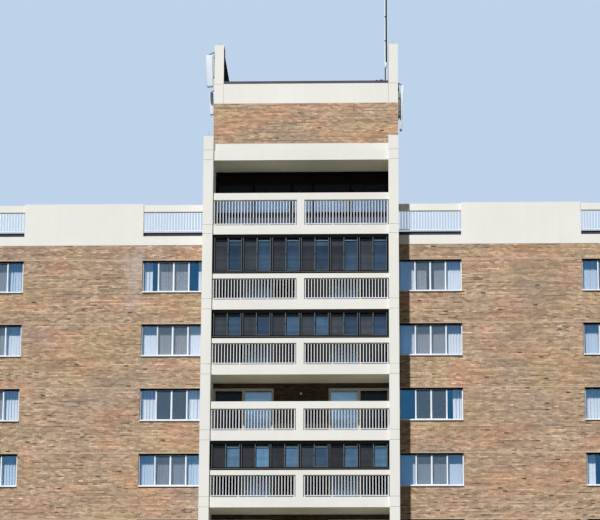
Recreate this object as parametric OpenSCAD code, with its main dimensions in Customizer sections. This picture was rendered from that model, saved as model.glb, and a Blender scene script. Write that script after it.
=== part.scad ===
// Twelve-storey apartment block with a stack of balconies between two fin walls, brick wings,
// a lounge on the roof and a raised plant house with side parapets. The model is at half size, in
// millimetres. +X is right, +Y is back and +Z is up. The front and the rear are alike, and the
// origin is the centre of the base.

/* [Storeys] */
// Number of storeys under the main roof
storeys = 12; // [5:1:12]
// Height from floor to floor
storey_h = 1325; // [1300:5:1500]
// Height of the top storey, and of the lounge on the roof
top_storey_h = 1550; // [1400:5:1700]
// Thickness of a floor slab
slab_t = 100; // [60:5:140]

/* [Plan] */
// Width of the block
block_w = 16200; // [15000:50:18000]
// Depth of the block between its outer wall faces
block_d = 8200; // [7000:50:9000]
// Thickness of the outer walls
wall_t = 150; // [120:5:200]
// Width over the two fin walls of the balcony stack
tower_w = 3914; // [3600:2:4200]
// Thickness of a fin wall
fin_t = 200; // [150:5:250]
// How far the fin walls stand out from the brick wall
balcony_d = 825; // [700:5:1000]
// How far the slab edges and guards stay back from the front of the fin walls
band_setback = 60; // [20:5:100]
// How far a fin wall rises past the lounge roof
fin_rise = 293; // [150:1:400]
// Height of the shallow tip on the front edge of a fin wall
fin_tip_h = 193; // [120:1:240]
// Depth of that tip
fin_tip_d = 184; // [120:4:260]
// Height of a casting joint in a fin wall
joint_h = 8; // [4:1:12]

/* [Slab edges] */
// Height of the edge band of a balcony slab
band_h = 205; // [150:5:250]
// Height of the edge band at the main roof
roof_band_h = 190; // [150:5:250]
// Thickness of an edge band, a guard beam or a kerb
band_t = 100; // [80:5:140]
// How far the roof edge stands out from the brick wall
roof_lip = 5; // [5:5:40]

/* [Wing windows] */
// Width of a window opening
window_w = 1260; // [1000:10:1300]
// Height of the opening's bottom above the slab underside
window_bottom = 560; // [450:5:650]
// Height of the door and window heads above the slab underside
head_h = 1230; // [1150:5:1240]
// Width of the brick pier between two windows
pier_w = 2413; // [2000:1:2600]
// Number of panes in a window
window_panes = 4; // [2:1:6]
// Width of the window frame members
window_bar = 20; // [15:1:40]
// Depth of the window frame
window_frame_d = 30; // [20:2:50]
// How far the window frame sits back from the brick face
window_reveal = 50; // [20:5:80]
// Height of a window sill
sill_h = 24; // [20:1:70]
// How far a sill stands out from the brick face
sill_out = 25; // [10:5:50]
// Thickness of the glass sheets
glass_t = 6; // [5:1:10]

/* [Balcony doors] */
// Width of the brick pier between the two sliding doors
door_pier_w = 1092; // [900:2:1300]
// Width of the sliding door frame members
door_bar = 34; // [30:2:60]
// Depth of the sliding door frame
door_frame_d = 50; // [30:5:70]
// How far the door frame sits back from the brick face
door_reveal = 30; // [10:5:60]
// Width and height of the wall light between the doors
light_size = 60; // [40:5:90]
// Height of the wall light above the floor
light_h = 1010; // [800:5:1050]

/* [Balcony guards] */
// Clear height of a railing between the slab edge and the guard beam
rail_h = 434; // [380:2:480]
// Height of the guard beam at an open balcony
beam_h = 144; // [100:2:180]
// Height of the guard beam under a balcony enclosure
glazed_beam_h = 97; // [80:1:120]
// Width of the centre post between the two railings
post_w = 150; // [120:2:180]
// Number of framed panels in each half of a railing
rail_panels = 3; // [2:1:4]
// Number of gaps between the balusters of one panel
rail_gaps = 9; // [6:1:12]
// Width of a baluster
baluster_w = 17; // [14:1:26]
// Width of a stile between two railing panels
stile_w = 22; // [18:1:34]
// Thickness of the railing, front to back
rail_t = 16; // [10:1:24]
// How far the railing sits back from the face of the slab edge
rail_setback = 20; // [10:2:40]
// Height of the bottom rail
rail_bar = 18; // [14:1:30]
// Gap under the bottom rail
rail_foot = 20; // [10:1:40]
// Gap between the end of a railing and the fin wall or centre post
rail_end_gap = 14; // [5:1:25]

/* [Balcony enclosures] */
// Storeys whose balcony is closed with sliding windows
glazed_storeys = [2, 4, 6, 7, 9, 11, 12]; // [2:1:12]
// Number of sliding window units across a balcony
enclosure_units = 6; // [4:1:8]
// Height of the enclosure's sill member
enclosure_sill = 62; // [40:2:80]
// Height of the enclosure's head member
enclosure_head = 76; // [50:2:90]
// Width of the stile between two units
enclosure_stile = 52; // [30:2:70]
// Width of the meeting bar in the middle of a unit
meeting_bar = 20; // [12:1:30]
// Depth of the enclosure frame
enclosure_d = 60; // [40:5:80]
// How far the enclosure frame sits back from the face of the guard beam
enclosure_back = 10; // [0:2:15]

/* [Parapet] */
// Clear height of a parapet railing, between the roof edge and the parapet beam
parapet_gap = 526; // [450:2:600]
// How far a solid parapet panel rises past the parapet beams
panel_rise = 15; // [5:1:30]
// How far a solid parapet panel stands in front of the parapet beams
panel_proud = 35; // [15:5:60]
// Thickness of a parapet beam
parapet_t = 80; // [70:5:140]
// Gap under the bottom rail of a parapet railing
parapet_foot = 118; // [40:1:130]
// Number of gaps between the balusters of a parapet railing
parapet_gaps = 22; // [14:1:26]

/* [Roof lounge] */
// Width of the door panel in the middle of the lounge glazing
lounge_door_w = 426; // [380:2:500]
// Distance from the centre to the outer mullions of the lounge glazing
lounge_mullion_x = 986; // [800:2:1200]
// Height of the transom above the lounge floor
transom_h = 478; // [400:2:560]
// Width of the lounge frame members
lounge_bar = 44; // [30:2:60]
// Height of the kerb on the lounge roof
kerb_h = 310; // [200:5:350]
// How far the kerb stands back from the face of the roof edge
kerb_back = 505; // [300:5:600]

/* [Plant house] */
// Depth of the plant house, front to back
house_d = 4080; // [3600:10:5000]
// Height of the top of its brickwork above the lounge roof
house_brick_h = 1970; // [1500:10:2200]
// Height of the painted band over the brickwork
house_band_h = 440; // [300:10:500]
// Height of the dark metal edge on the band
edge_trim_h = 60; // [30:5:80]
// How far a side parapet rises past the band at its corners
horn_rise = 885; // [600:5:1000]
// Height of the raised tip at each corner
horn_tip_h = 145; // [100:5:250]
// Depth of that tip
horn_tip_d = 330; // [200:10:500]

/* [Aerials and masts] */
// Width, depth and height of the upper aerial on the left
upper_aerial = [140, 80, 709]; // [40:1:900]
// Height of its foot above the lounge roof
upper_aerial_z = 2406; // [2000:1:2500]
// Width, depth and height of the lower aerial on the left
lower_aerial = [84, 60, 490]; // [40:1:900]
// Height of its foot above the lounge roof
lower_aerial_z = 1877; // [1500:1:2000]
// Width, depth and height of the aerial on the right
right_aerial = [54, 160, 990]; // [40:1:1100]
// Height of its foot above the lounge roof
right_aerial_z = 1397; // [1200:1:1600]
// Gap between the foot of an aerial and the plant house, bridged by two brackets
aerial_gap = 30; // [20:5:80]
// How far an aerial leans outward at its top, in degrees
aerial_lean = 2.5; // [0:0.5:5]
// Radius of the pipe beside the aerial on the right
pipe_r = 26; // [16:1:30]
// Height of that pipe
pipe_h = 565; // [400:5:640]
// Distance of the outer aerials behind the front of the plant house
aerial_back = 150; // [100:10:300]
// Height and width of an aerial bracket
bracket_w = 24; // [16:2:40]
// Distance of the whip mast from the centre line
mast_x = 1700; // [1500:10:1720]
// Height of the whip mast's tip above the ground
mast_top = 22500; // [22200:10:22900]
// Radius of the whip mast's upper tube
mast_r = 28; // [20:1:34]
// Radius of the thinner tube that carries the mast
mast_foot_r = 17; // [12:1:19]
// Length of that tube
mast_foot = 360; // [300:5:600]
// Height of a lightning rod
rod_h = 130; // [80:5:200]
// Radius of a lightning rod
rod_r = 6; // [4:1:10]

/* [Hidden] */

concrete_colour = [0.91, 0.90, 0.88];
brick_colour = [0.70, 0.59, 0.50];
slab_colour = [0.62, 0.61, 0.58];
glass_colour = [0.25, 0.33, 0.42];
white_colour = [0.93, 0.93, 0.92];
bronze_colour = [0.16, 0.15, 0.14];
frame_colour = [0.62, 0.60, 0.55];

roof_level = storeys + 1;
roof_z = level_z(roof_level);
roof_top_z = roof_z + roof_band_h;
lounge_top_z = roof_z + top_storey_h;
lounge_roof_z = lounge_top_z + band_h;
parapet_beam_z = roof_top_z + parapet_gap;
fin_top_z = lounge_roof_z + fin_rise;

half_w = block_w / 2;
wall_y = -block_d / 2;
inner_y = wall_y + wall_t;
fin_y = wall_y - balcony_d;
band_y = fin_y + band_setback;
fin_x = tower_w / 2;
bay_x = fin_x - fin_t;
near_x = fin_x + window_w;
far_x = near_x + pier_w;
end_x = far_x + window_w;
door_x = door_pier_w / 2;
window_centres = [(fin_x + near_x) / 2, (far_x + end_x) / 2];
parapet_y = wall_y - roof_lip + panel_proud;
kerb_y = band_y + kerb_back;

house_y = -house_d / 2;
house_brick_z = lounge_roof_z + house_brick_h;
house_band_z = house_brick_z + house_band_h;
horn_z = house_band_z + horn_rise;

joint_d = 10;
joint_stop = 40;
bracket_shares = [0.3, 0.92];

// Height of the underside of the slab at a level, the main roof included
function level_z(level) = level > storeys
    ? (storeys - 1) * storey_h + top_storey_h
    : (level - 1) * storey_h;

function is_glazed(level) = len(search(level, glazed_storeys)) > 0;

// Heights of the edge band, the railing and the guard beam at a level
function band_height(level) = level == roof_level ? roof_band_h : band_h;
function guard_gap(level) = level == roof_level ? parapet_gap : rail_h;
function rail_z(level) = level_z(level) + band_height(level);
function beam_z(level) = rail_z(level) + guard_gap(level);
function beam_height(level) = is_glazed(level) ? glazed_beam_h : beam_h;

// Box between two opposite corners
module block(low, high) {
    translate(low) cube(high - low);
}

module rear() {
    mirror([0, 1, 0]) children();
}

module front_and_rear() {
    children();
    rear() children();
}

module left_and_right() {
    children();
    mirror([1, 0, 0]) children();
}

// Openings where the columns and rows of a grid cross
module grid_holes(columns, rows) {
    for (column = columns, row = rows)
        translate([column[0], row[0]]) square([column[1] - column[0], row[1] - row[0]]);
}

// Upright plate cut by a grid of openings, from x = 0 and z = 0, with its back face at y = 0
module grid_plate(depth, width, height, columns, rows) {
    rotate([90, 0, 0]) linear_extrude(depth) difference() {
        square([width, height]);
        grid_holes(columns, rows);
    }
}

// Spans left free between bars of one width, set at equal steps between two edge members
function even_spans(width, edge, bar, count) = [
    for (i = [0:count - 1])
        let (pitch = (width - 2 * edge + bar) / count)
        [edge + i * pitch, edge + (i + 1) * pitch - bar]
];

// Spans left free between bars at given places
function spans_between(width, edge, bar, places) = [
    for (i = [0:len(places)])
        [i == 0 ? edge : places[i - 1] + bar / 2,
         i == len(places) ? width - edge : places[i] - bar / 2]
];

// Structure

module ground_slab() {
    color(slab_colour)
        block([wall_t - half_w, inner_y, 0], [half_w - wall_t, -inner_y, slab_t]);
}

module floor_slabs() {
    color(slab_colour) for (level = [2:storeys])
        translate([0, 0, level_z(level)])
            block([wall_t - half_w, inner_y, 0], [half_w - wall_t, -inner_y, slab_t]);
}

module roof_slab() {
    color(slab_colour)
        block([-half_w - roof_lip, inner_y, roof_z], [half_w + roof_lip, -inner_y, roof_top_z]);
}

module roof_edge_bands() {
    color(concrete_colour) front_and_rear() left_and_right()
        block([fin_x, wall_y - roof_lip, roof_z], [half_w + roof_lip, inner_y, roof_top_z]);
}

// Brick wings

module brick_piers() {
    color(brick_colour) left_and_right() {
        block([near_x, wall_y, 0], [far_x, inner_y, roof_z]);
        block([end_x, wall_y, 0], [half_w, inner_y, roof_z]);
    }
}

// Brickwork under, between and over the windows of each column
module brick_spandrels() {
    color(brick_colour) left_and_right()
        for (x = [fin_x, far_x], level = [1:roof_level])
            block([x, wall_y, level == 1 ? 0 : level_z(level - 1) + head_h],
                  [x + window_w, inner_y,
                   level == roof_level ? roof_z : level_z(level) + window_bottom]);
}

module front_brick_piers() {
    brick_piers();
}

module rear_brick_piers() {
    rear() brick_piers();
}

module front_brick_spandrels() {
    brick_spandrels();
}

module rear_brick_spandrels() {
    rear() brick_spandrels();
}

module gable_walls() {
    color(brick_colour) left_and_right()
        block([half_w - wall_t, inner_y, 0], [half_w, -inner_y, roof_z]);
}

// Windows

module each_window() {
    front_and_rear() left_and_right() for (x = window_centres, level = [1:storeys])
        translate([x - window_w / 2, 0, level_z(level) + window_bottom]) children();
}

module window_frames() {
    glazing_h = head_h - window_bottom - sill_h;
    color(white_colour) each_window()
        translate([0, wall_y + window_reveal + window_frame_d, sill_h])
            grid_plate(window_frame_d, window_w, glazing_h,
                       even_spans(window_w, window_bar, window_bar, window_panes),
                       [[window_bar, glazing_h - window_bar]]);
}

module window_glass() {
    glass_y = wall_y + window_reveal + window_frame_d;
    color(glass_colour) each_window()
        block([0, glass_y, sill_h], [window_w, glass_y + glass_t, head_h - window_bottom]);
}

module window_sills() {
    color(white_colour) each_window()
        block([0, wall_y - sill_out, 0], [window_w, inner_y, sill_h]);
}

// Parapet

module parapet_panels() {
    color(concrete_colour) front_and_rear() left_and_right()
        for (span = [[near_x, far_x], [end_x, half_w + roof_lip]])
            block([span[0], wall_y - roof_lip, roof_top_z],
                  [span[1], parapet_y + parapet_t, parapet_beam_z + beam_h + panel_rise]);
}

module gable_parapets() {
    color(concrete_colour) left_and_right()
        block([half_w + roof_lip - parapet_t - panel_proud, parapet_y + parapet_t, roof_top_z],
              [half_w + roof_lip, -parapet_y - parapet_t, parapet_beam_z + beam_h + panel_rise]);
}

module parapet_beams() {
    color(concrete_colour) front_and_rear() left_and_right() for (x = [fin_x, far_x])
        block([x, parapet_y, parapet_beam_z],
              [x + window_w, parapet_y + parapet_t, parapet_beam_z + beam_h]);
}

// Row of balusters between the parapet beam and a bottom rail that spans the gap
module parapet_railings() {
    color(white_colour) front_and_rear() left_and_right() for (x = [fin_x, far_x])
        translate([x, parapet_y + rail_setback + rail_t, roof_top_z + parapet_foot])
            grid_plate(rail_t, window_w, parapet_gap - parapet_foot,
                       even_spans(window_w, 0, baluster_w, parapet_gaps),
                       [[rail_bar, parapet_gap]]);
}

// Balcony stack

// Fin wall of cast panels, with a shallow joint at the top and bottom of each slab edge and a
// raised tip on its front edge
module fin_wall() {
    joints = [
        for (level = [2:roof_level]) each [level_z(level), level_z(level) + band_height(level)],
        lounge_top_z, lounge_roof_z
    ];
    color(concrete_colour) difference() {
        block([bay_x, fin_y, 0], [fin_x, inner_y, fin_top_z]);
        for (z = joints) translate([0, 0, z - joint_h / 2]) {
            block([bay_x - 1, fin_y - 1, 0], [fin_x + 1, fin_y + joint_d, joint_h]);
            block([fin_x - joint_d, fin_y - 1, 0], [fin_x + 1, wall_y - joint_stop, joint_h]);
        }
        block([bay_x - 1, fin_y + fin_tip_d, fin_top_z - fin_tip_h],
              [fin_x + 1, inner_y + 1, fin_top_z + 1]);
    }
}

module front_fin_walls() {
    left_and_right() fin_wall();
}

module rear_fin_walls() {
    rear() left_and_right() fin_wall();
}

module balcony_slabs() {
    color(concrete_colour) front_and_rear() for (level = [1:roof_level])
        translate([0, 0, level_z(level)])
            block([-bay_x, level == 1 ? band_y : band_y + band_t, 0], [bay_x, wall_y, slab_t]);
}

module balcony_edge_bands() {
    color(concrete_colour) front_and_rear() for (level = [2:roof_level])
        block([-bay_x, band_y, level_z(level)], [bay_x, band_y + band_t, rail_z(level)]);
}

module balcony_guard_beams() {
    color(concrete_colour) front_and_rear() for (level = [2:roof_level])
        translate([0, 0, beam_z(level)])
            block([-bay_x, band_y, 0], [bay_x, band_y + band_t, beam_height(level)]);
}

module balcony_centre_posts() {
    color(concrete_colour) front_and_rear() for (level = [2:roof_level])
        block([-post_w / 2, band_y, rail_z(level)], [post_w / 2, band_y + band_t, beam_z(level)]);
}

// One half of a balcony's railing: panels of flat bars that stand on their stiles and reach up to
// the guard beam
module balcony_railing(height) {
    width = bay_x - post_w / 2 - 2 * rail_end_gap;
    panel_w = (width - stile_w) / rail_panels;
    gaps = [
        for (panel = [0:rail_panels - 1], span = even_spans(panel_w + stile_w, stile_w,
                                                            baluster_w, rail_gaps))
            [panel * panel_w + span[0], panel * panel_w + span[1]]
    ];
    feet = [
        for (panel = [0:rail_panels - 1])
            [panel * panel_w + stile_w, (panel + 1) * panel_w]
    ];
    rotate([90, 0, 0]) linear_extrude(rail_t) difference() {
        square([width, height]);
        grid_holes(gaps, [[rail_foot + rail_bar, height + 1]]);
        grid_holes(feet, [[-1, rail_foot]]);
    }
}

module balcony_railings() {
    color(white_colour) left_and_right() for (level = [2:roof_level])
        translate([post_w / 2 + rail_end_gap, band_y + rail_setback + rail_t, rail_z(level)])
            balcony_railing(guard_gap(level));
}

module front_balcony_railings() {
    balcony_railings();
}

module rear_balcony_railings() {
    rear() balcony_railings();
}

module balcony_brick_piers() {
    color(brick_colour) front_and_rear()
        block([-door_x, wall_y, 0], [door_x, inner_y, roof_top_z]);
}

// Brickwork over each sliding door, up to the floor above, and the sill of the lowest doors
module balcony_lintels() {
    color(brick_colour) front_and_rear() left_and_right() for (level = [0:storeys])
        block([door_x, wall_y, level == 0 ? 0 : level_z(level) + head_h],
              [bay_x, inner_y, level == storeys ? roof_top_z : level_z(level + 1) + slab_t]);
}

module balcony_lights() {
    color(white_colour) front_and_rear() for (level = [1:storeys])
        translate([0, wall_y, level_z(level) + slab_t + light_h])
            block([-light_size / 2, -light_size, -light_size / 2],
                  [light_size / 2, 0, light_size / 2]);
}

module each_sliding_door() {
    front_and_rear() left_and_right() for (level = [1:storeys])
        translate([door_x, wall_y + door_reveal + door_frame_d, level_z(level) + slab_t])
            children();
}

module sliding_door_frames() {
    height = head_h - slab_t;
    color(frame_colour) each_sliding_door()
        grid_plate(door_frame_d, bay_x - door_x, height,
                   even_spans(bay_x - door_x, door_bar, door_bar, 2),
                   [[door_bar, height - door_bar]]);
}

module sliding_door_glass() {
    color(glass_colour) each_sliding_door()
        cube([bay_x - door_x, glass_t, head_h - slab_t]);
}

module each_enclosure() {
    front_and_rear() for (level = glazed_storeys)
        translate([-bay_x, band_y + enclosure_back + enclosure_d, beam_z(level) + glazed_beam_h])
            let ($height = level_z(level + 1) - beam_z(level) - glazed_beam_h) children();
}

// Row of sliding window units, each with a meeting bar in its middle
module enclosure_frame(height) {
    unit_w = (2 * bay_x - enclosure_stile) / enclosure_units;
    panes = [
        for (unit = [0:enclosure_units - 1], span = even_spans(unit_w + enclosure_stile,
                                                               enclosure_stile, meeting_bar, 2))
            [unit * unit_w + span[0], unit * unit_w + span[1]]
    ];
    grid_plate(enclosure_d, 2 * bay_x, height, panes, [[enclosure_sill, height - enclosure_head]]);
}

module enclosure_frames() {
    color(bronze_colour) each_enclosure() enclosure_frame($height);
}

module enclosure_glass() {
    color(glass_colour) each_enclosure() cube([2 * bay_x, glass_t, $height]);
}

// Roof lounge

module lounge_side_walls() {
    color(brick_colour) left_and_right()
        block([fin_x - wall_t, inner_y, roof_top_z], [fin_x, -inner_y, lounge_top_z]);
}

module each_lounge_front() {
    front_and_rear()
        translate([-bay_x, wall_y + door_reveal + door_frame_d, roof_top_z]) children();
}

module lounge_frames() {
    width = 2 * bay_x;
    height = lounge_top_z - roof_top_z;
    mullions = [
        for (x = [-lounge_mullion_x, -lounge_door_w / 2, lounge_door_w / 2, lounge_mullion_x])
            x + bay_x
    ];
    color(frame_colour) each_lounge_front()
        grid_plate(door_frame_d, width, height,
                   spans_between(width, lounge_bar, lounge_bar, mullions),
                   spans_between(height, lounge_bar, lounge_bar, [transom_h]));
}

module lounge_glass() {
    color(glass_colour) each_lounge_front()
        cube([2 * bay_x, glass_t, lounge_top_z - roof_top_z]);
}

module lounge_roof() {
    color(slab_colour)
        block([-fin_x, inner_y, lounge_top_z], [fin_x, -inner_y, lounge_roof_z]);
}

module balcony_roofs() {
    color(concrete_colour) front_and_rear()
        block([-bay_x, band_y, lounge_top_z], [bay_x, inner_y, lounge_roof_z]);
}

module roof_kerbs() {
    color(concrete_colour) front_and_rear()
        block([-bay_x, kerb_y, lounge_roof_z], [bay_x, kerb_y + band_t, lounge_roof_z + kerb_h]);
}

// Plant house

module plant_house_walls() {
    color(brick_colour) difference() {
        block([-fin_x, house_y, lounge_roof_z], [fin_x, -house_y, house_brick_z]);
        block([wall_t - fin_x, house_y + wall_t, lounge_roof_z - 1],
              [fin_x - wall_t, -house_y - wall_t, house_brick_z + 1]);
    }
}

// Side parapet on the brickwork, with a raised tip and a casting joint at each end
module side_parapet() {
    difference() {
        block([bay_x, house_y, house_brick_z], [fin_x, -house_y, horn_z]);
        block([bay_x - 1, house_y + horn_tip_d, horn_z - horn_tip_h],
              [fin_x + 1, -house_y - horn_tip_d, horn_z + 1]);
        front_and_rear() translate([0, 0, house_band_z - joint_h / 2])
            block([bay_x - 1, house_y - 1, 0], [fin_x + 1, house_y + joint_d, joint_h]);
    }
}

module plant_house_fins() {
    color(concrete_colour) left_and_right() side_parapet();
}

module plant_house_band() {
    color(concrete_colour) front_and_rear()
        block([-bay_x, house_y, house_brick_z], [bay_x, house_y + wall_t, house_band_z]);
}

module plant_house_roof() {
    color(slab_colour)
        block([-bay_x, house_y + wall_t, house_band_z - 2 * slab_t],
              [bay_x, -house_y - wall_t, house_band_z - slab_t]);
}

module roof_edge_trim() {
    color(bronze_colour) front_and_rear()
        block([-bay_x, house_y, house_band_z],
              [bay_x, house_y + wall_t, house_band_z + edge_trim_h]);
}

// Aerials and masts

// Panel aerial with its foot at z = 0, held off a wall at x = 0 by two brackets that reach to the
// side by a given length
module aerial(size, reach) {
    translate([aerial_gap, -size[1] / 2, 0]) rotate([0, aerial_lean, 0]) cube(size);
    for (share = bracket_shares)
        translate([0, -reach, share * size[2] - bracket_w / 2])
            cube([aerial_gap + size[0], reach + bracket_w / 2, bracket_w]);
}

// Aerial beside a pipe that its lower bracket carries
module piped_aerial(size) {
    pipe_y = size[1] / 2 + aerial_gap;
    aerial(size, pipe_y);
    translate([aerial_gap, -pipe_y, bracket_shares[0] * size[2] - bracket_w / 2 - pipe_r])
        cylinder(r = pipe_r, h = pipe_h);
}

module aerial_panels() {
    color(white_colour) translate([0, house_y + aerial_back, lounge_roof_z]) {
        mirror([1, 0, 0]) {
            translate([fin_x, 0, upper_aerial_z]) aerial(upper_aerial, bracket_w / 2);
            translate([fin_x, 2 * aerial_back, lower_aerial_z])
                aerial(lower_aerial, bracket_w / 2);
        }
        translate([fin_x, 0, right_aerial_z]) piped_aerial(right_aerial);
    }
}

// Whip mast on a thinner tube, standing on the metal edge of the plant house
module antenna_mast() {
    foot_z = house_band_z + edge_trim_h;
    color(frame_colour) translate([mast_x, house_y + wall_t / 2, foot_z]) {
        cylinder(r = mast_foot_r, h = mast_foot);
        translate([0, 0, mast_foot]) cylinder(r = mast_r, h = mast_top - foot_z - mast_foot);
    }
}

module lightning_rods() {
    rod_x = fin_x - fin_t / 2;
    color(frame_colour) front_and_rear() {
        left_and_right() translate([rod_x, house_y + horn_tip_d / 2, horn_z])
            cylinder(r = rod_r, h = rod_h);
        translate([-rod_x, fin_y + fin_tip_d / 2, fin_top_z]) cylinder(r = rod_r, h = rod_h);
    }
}

ground_slab();
floor_slabs();
roof_slab();
roof_edge_bands();
front_brick_piers();
rear_brick_piers();
front_brick_spandrels();
rear_brick_spandrels();
gable_walls();
window_frames();
window_glass();
window_sills();
parapet_panels();
gable_parapets();
parapet_beams();
parapet_railings();
front_fin_walls();
rear_fin_walls();
balcony_slabs();
balcony_edge_bands();
balcony_guard_beams();
balcony_centre_posts();
front_balcony_railings();
rear_balcony_railings();
balcony_brick_piers();
balcony_lintels();
balcony_lights();
sliding_door_frames();
sliding_door_glass();
enclosure_frames();
enclosure_glass();
lounge_side_walls();
lounge_frames();
lounge_glass();
lounge_roof();
balcony_roofs();
roof_kerbs();
plant_house_walls();
plant_house_fins();
plant_house_band();
plant_house_roof();
roof_edge_trim();
aerial_panels();
antenna_mast();
lightning_rods();
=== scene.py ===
"""Looks of the apartment block: camera, light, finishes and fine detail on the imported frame.

Lengths are in metres at the model's own scale of 1:2, and angles are in degrees. The front faces
-Y and the rear is like it.
"""

import math
import random

import bpy
import numpy as np
from mathutils import Euler, Matrix, Vector


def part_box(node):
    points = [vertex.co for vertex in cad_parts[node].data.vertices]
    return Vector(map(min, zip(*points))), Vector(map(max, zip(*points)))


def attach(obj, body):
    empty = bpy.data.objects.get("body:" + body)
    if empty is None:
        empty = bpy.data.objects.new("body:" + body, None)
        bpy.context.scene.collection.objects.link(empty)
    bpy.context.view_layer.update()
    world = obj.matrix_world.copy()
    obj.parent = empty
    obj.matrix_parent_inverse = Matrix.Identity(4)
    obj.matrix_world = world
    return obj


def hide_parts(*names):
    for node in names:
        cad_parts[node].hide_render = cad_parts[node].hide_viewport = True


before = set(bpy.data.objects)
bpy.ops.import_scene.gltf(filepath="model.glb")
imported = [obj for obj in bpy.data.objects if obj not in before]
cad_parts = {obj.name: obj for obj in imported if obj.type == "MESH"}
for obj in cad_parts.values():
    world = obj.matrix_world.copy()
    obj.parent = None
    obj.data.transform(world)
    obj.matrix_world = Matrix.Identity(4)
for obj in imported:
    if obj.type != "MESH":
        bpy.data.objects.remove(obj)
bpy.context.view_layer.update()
scene = bpy.context.scene

SEED = 12

# Decimals to which places are rounded before they are compared
DECIMALS = 4

# Camera: an eye near the ground, with a long lens
CAMERA_AT = (1.931, -58.925, 0.300)
CAMERA_PITCH = 15.779
CAMERA_YAW = 2.054
CAMERA_ROLL = 0.282
CAMERA_LENS = 169.61
SENSOR_WIDTH = 36.0

# Light. The horizon blends from the light below to the light above over twice HORIZON_BLEND
KEY_AZIMUTH = 14.6
KEY_ELEVATION = 46.0
KEY_STRENGTH = 4.12
KEY_SOFTNESS = 1.5
FILL_AZIMUTH = 205.0
FILL_ELEVATION = 15.0
FILL_STRENGTH = 1.9
FILL_SOFTNESS = 40.0
SKY_STRENGTH = 0.07
GROUND_STRENGTH = 0.06
BACKDROP_STRENGTH = 1.0
HORIZON_BLEND = 0.1
FLOOR_SIZE = 900.0

# Storeys, as in the CAD model, and how many of the upper ones have their blinds set one by one
STOREYS = 12
STOREY_HEIGHT = 1.325
TOP_STOREYS = 4

# Usual range of a noise, and the share of a normal from which a face counts as turned that way
NOISE_RANGE = (0.3, 0.7)
TURNED = 0.5

# Facing brick: size, joints, a brick's own share in its tone, and the share of burnt bricks
COURSE_HEIGHT = STOREY_HEIGHT / 42
BRICK_LENGTH = 3 * COURSE_HEIGHT
MORTAR = 0.0045
OWN_TONE = 0.56
BURNT_SHARE = 0.003

# Patch of lime bloom: its centre, its reach along and up, how fast it thins out, its strength
BLOOM_AT = (-3.38, 15.5)
BLOOM_REACH = (0.30, 0.85)
BLOOM_FADE = 0.4
BLOOM_STRENGTH = 0.55

# Centre between the leaves of a sliding door, and width of a pane of the balcony enclosures
DOOR_MIDDLE = 1.1515
ENCLOSURE_PANE = 0.2885

# Storeys whose enclosures have bright rails over the sliding panes
BRIGHT_TOP_STOREYS = (4, 7, 9, 12)

# Storeys whose enclosures show more painted sky reflection, and how much panes differ in the others
# and there
LIT_STOREYS = (2, 4, 7, 9)
PANE_CONTRAST = (0.20, 0.75)

# Width of a pane of the lounge, the height of its transom, and the height over which it is painted
# dark as shade
LOUNGE_PANE = 0.773
LOUNGE_TRANSOM = 16.815
LOUNGE_PAINTED_SHADE_FROM = 17.14

# Aerials, as in the CAD model: side of the plant house, width, depth and height, height of the
# foot over the lounge roof, and distance behind the front of the plant house
AERIALS = [
    (-1, (0.140, 0.080, 0.709), 2.406, 0.15),
    (-1, (0.084, 0.060, 0.490), 1.877, 0.45),
    (1, (0.054, 0.160, 0.990), 1.397, 0.15),
]
AERIAL_GAP = 0.030
AERIAL_LEAN = 2.5
AERIAL_BRACKETS = (0.3, 0.92)

# Poles behind the aerials, and the pipe beside the one on the right
POLE_RADIUS = 0.011
POLE_RISE = 0.07
PIPE_RADIUS = 0.026

# Raised tips of the plant house's side parapets, as in the CAD model
PARAPET_TIP_HEIGHT = 0.145
PARAPET_TIP_DEPTH = 0.33

# Windows. Pairs of distances are in front of the glass
PANES = 4
WINDOW_BAR = 0.020
GASKET = 0.004
GASKET_AHEAD = (0.0, 0.008)
# Near-black strip over each window frame: painted shade under the window head
HEAD_SHADE_STRIP = 0.025
HEAD_SHADE_STRIP_AHEAD = (0.030, 0.042)
SCREEN_RIM = 0.006
SCREEN_RIM_AHEAD = (0.012, 0.022)
SCREEN_MESH_AHEAD = (0.016, 0.018)

# Blinds behind the glass: slats, the range and the spread of their turn, and the rail on top
SLAT_PITCH = 0.058
SLAT_WIDTH = 0.060
SLAT_THICKNESS = 0.0015
SLAT_TURN = (13, 22)
SLAT_TURN_SPREAD = 7
BLIND_BEHIND = 0.092
BLIND_DROP = 0.08
HEAD_RAIL = 0.022
HEAD_RAIL_BEHIND = (0.064, 0.104)
HEAD_RAIL_MARGIN = 0.03

# Joints: how far they reach into a wall and out of it, their widths, and the limits of the
# course line over a window head
JOINT_DEPTH = 0.002
JOINT_PROUD = 0.001
SEALANT_WIDTH = 0.006
CONCRETE_JOINT = 0.005
COURSE_LINE = (0.004, 0.018)

# Angle over which an edge of a smooth piece stays sharp
SHARP_ANGLE = 40


def srgb(red, green, blue):
    """Linear colour of a display colour whose channels run from 0 to 255."""
    def linear(channel):
        share = channel / 255
        return share / 12.92 if share <= 0.04045 else ((share + 0.055) / 1.055) ** 2.4
    return (linear(red), linear(green), linear(blue), 1.0)
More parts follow.
